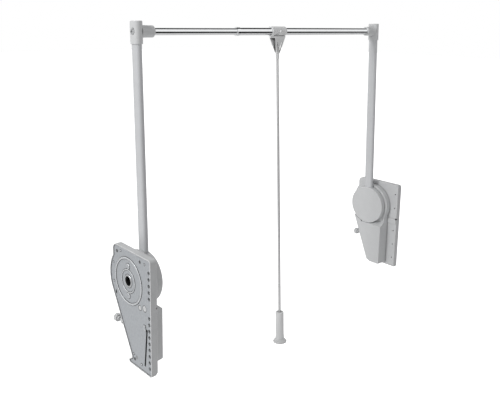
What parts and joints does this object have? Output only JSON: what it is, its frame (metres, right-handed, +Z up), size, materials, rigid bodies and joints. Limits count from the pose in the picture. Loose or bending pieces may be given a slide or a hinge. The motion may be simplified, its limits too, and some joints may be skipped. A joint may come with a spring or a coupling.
{
  "type": "pull-down wardrobe rail",
  "caption": "Pull-down wardrobe rail: two sprung wall units with swinging arms, a telescopic chrome rail and a hanging pull handle.",
  "frame": {"origin": "axis of the hanging rail at its mid-length, arms raised", "axes": "+X along the rail to the right as the user sees it, +Y away from the user, +Z up"},
  "size_m": [1.01, 0.1785, 0.9509],
  "materials": {
    "grey_moulding": "light grey injection moulding, satin",
    "zinc_sheet": "zinc-plated pressed steel",
    "zinc_casting": "zinc-plated turned steel",
    "screw_steel": "zinc-plated screw steel",
    "spring_steel": "oiled spring steel",
    "buffer_rubber": "black rubber",
    "bearing_nylon": "natural nylon",
    "coated_tube": "light grey powder-coated steel tube",
    "chrome_tube": "polished chrome-plated steel tube",
    "handle_tube": "grey coated steel tube"
  },
  "bodies": {
    "right_housing": {"right_cover": "grey_moulding", "right_mounting_plate": "zinc_sheet", "right_plate_rivets": "zinc_sheet", "right_cover_screws": "screw_steel", "right_hub_axle": "zinc_casting", "right_retaining_ring": "spring_steel", "right_stop_buffers": "buffer_rubber", "right_lift_spring": "spring_steel", "right_anchor_lever": "zinc_sheet", "right_lever_pivot": "zinc_sheet", "right_adjuster_bush": "grey_moulding"},
    "right_adjuster": {"right_adjuster_screw": "screw_steel", "right_adjuster_knob": "grey_moulding"},
    "right_arm": {"right_hub_bush": "bearing_nylon", "right_hub_disc": "grey_moulding", "right_hub_cap": "grey_moulding", "right_crank_lever": "zinc_sheet", "right_crank_pin": "screw_steel", "right_arm_screws": "screw_steel", "right_arm_tube": "coated_tube", "right_bracket_screw": "screw_steel", "right_rail_bracket": "grey_moulding", "right_rail_plug": "bearing_nylon", "outer_rail_tube": "chrome_tube", "rail_collar": "grey_moulding"},
    "left_housing": {"left_cover": "grey_moulding", "left_mounting_plate": "zinc_sheet", "left_plate_rivets": "zinc_sheet", "left_cover_screws": "screw_steel", "left_hub_axle": "zinc_casting", "left_retaining_ring": "spring_steel", "left_stop_buffers": "buffer_rubber", "left_lift_spring": "spring_steel", "left_anchor_lever": "zinc_sheet", "left_lever_pivot": "zinc_sheet", "left_adjuster_bush": "grey_moulding"},
    "left_adjuster": {"left_adjuster_screw": "screw_steel", "left_adjuster_knob": "grey_moulding"},
    "left_arm": {"left_hub_bush": "bearing_nylon", "left_hub_disc": "grey_moulding", "left_hub_cap": "grey_moulding", "left_crank_lever": "zinc_sheet", "left_crank_pin": "screw_steel", "left_arm_screws": "screw_steel", "left_arm_tube": "coated_tube", "left_bracket_screw": "screw_steel", "left_rail_bracket": "grey_moulding", "left_rail_plug": "bearing_nylon", "inner_rail_tube": "chrome_tube", "rail_glide": "bearing_nylon"},
    "sleeve": {"handle_sleeve": "grey_moulding"},
    "handle": {"handle_yoke": "grey_moulding", "handle_rod": "handle_tube", "handle_grip": "grey_moulding", "grip_skirt": "grey_moulding"}
  },
  "joints": [
    {"name": "width_adjust", "type": "slide", "parent": "right_housing", "child": "left_housing", "axis": [-1, 0, 0], "range_m": [-0.18, 0.14]},
    {"name": "arm_swing", "type": "hinge", "parent": "right_housing", "child": "right_arm", "pos_m": [0.4575, -0.0175, -0.58974], "axis": [1, 0, 0], "range_deg": [0, 115], "stiffness_Nm_per_rad": 6, "springref_deg": -20.05, "deforming": ["right_lift_spring"]},
    {"name": "left_arm_swing", "type": "hinge", "parent": "left_housing", "child": "left_arm", "pos_m": [-0.4575, -0.0175, -0.58974], "axis": [1, 0, 0], "range_deg": [0, 115], "deforming": ["left_lift_spring"]},
    {"name": "sleeve_turn", "type": "hinge", "parent": "right_arm", "child": "sleeve", "pos_m": [0, 0, 0], "axis": [1, 0, 0], "range_deg": [-115, 0]},
    {"name": "handle_swing", "type": "hinge", "parent": "sleeve", "child": "handle", "pos_m": [0.003, 0, 0], "axis": [-1, 0, 0], "range_deg": [-30, 90]},
    {"name": "right_adjuster_turn", "type": "hinge", "parent": "right_housing", "child": "right_adjuster", "pos_m": [0.4935, 0.0525, -0.71374], "axis": [0, 1, 0], "continuous": true},
    {"name": "left_adjuster_turn", "type": "hinge", "parent": "left_housing", "child": "left_adjuster", "pos_m": [-0.4935, 0.0525, -0.71374], "axis": [0, 1, 0], "continuous": true}
  ],
  "couplings": [
    {"joint": "left_arm_swing", "follows": "arm_swing", "ratio": 1},
    {"joint": "sleeve_turn", "follows": "arm_swing", "ratio": -1}
  ]
}
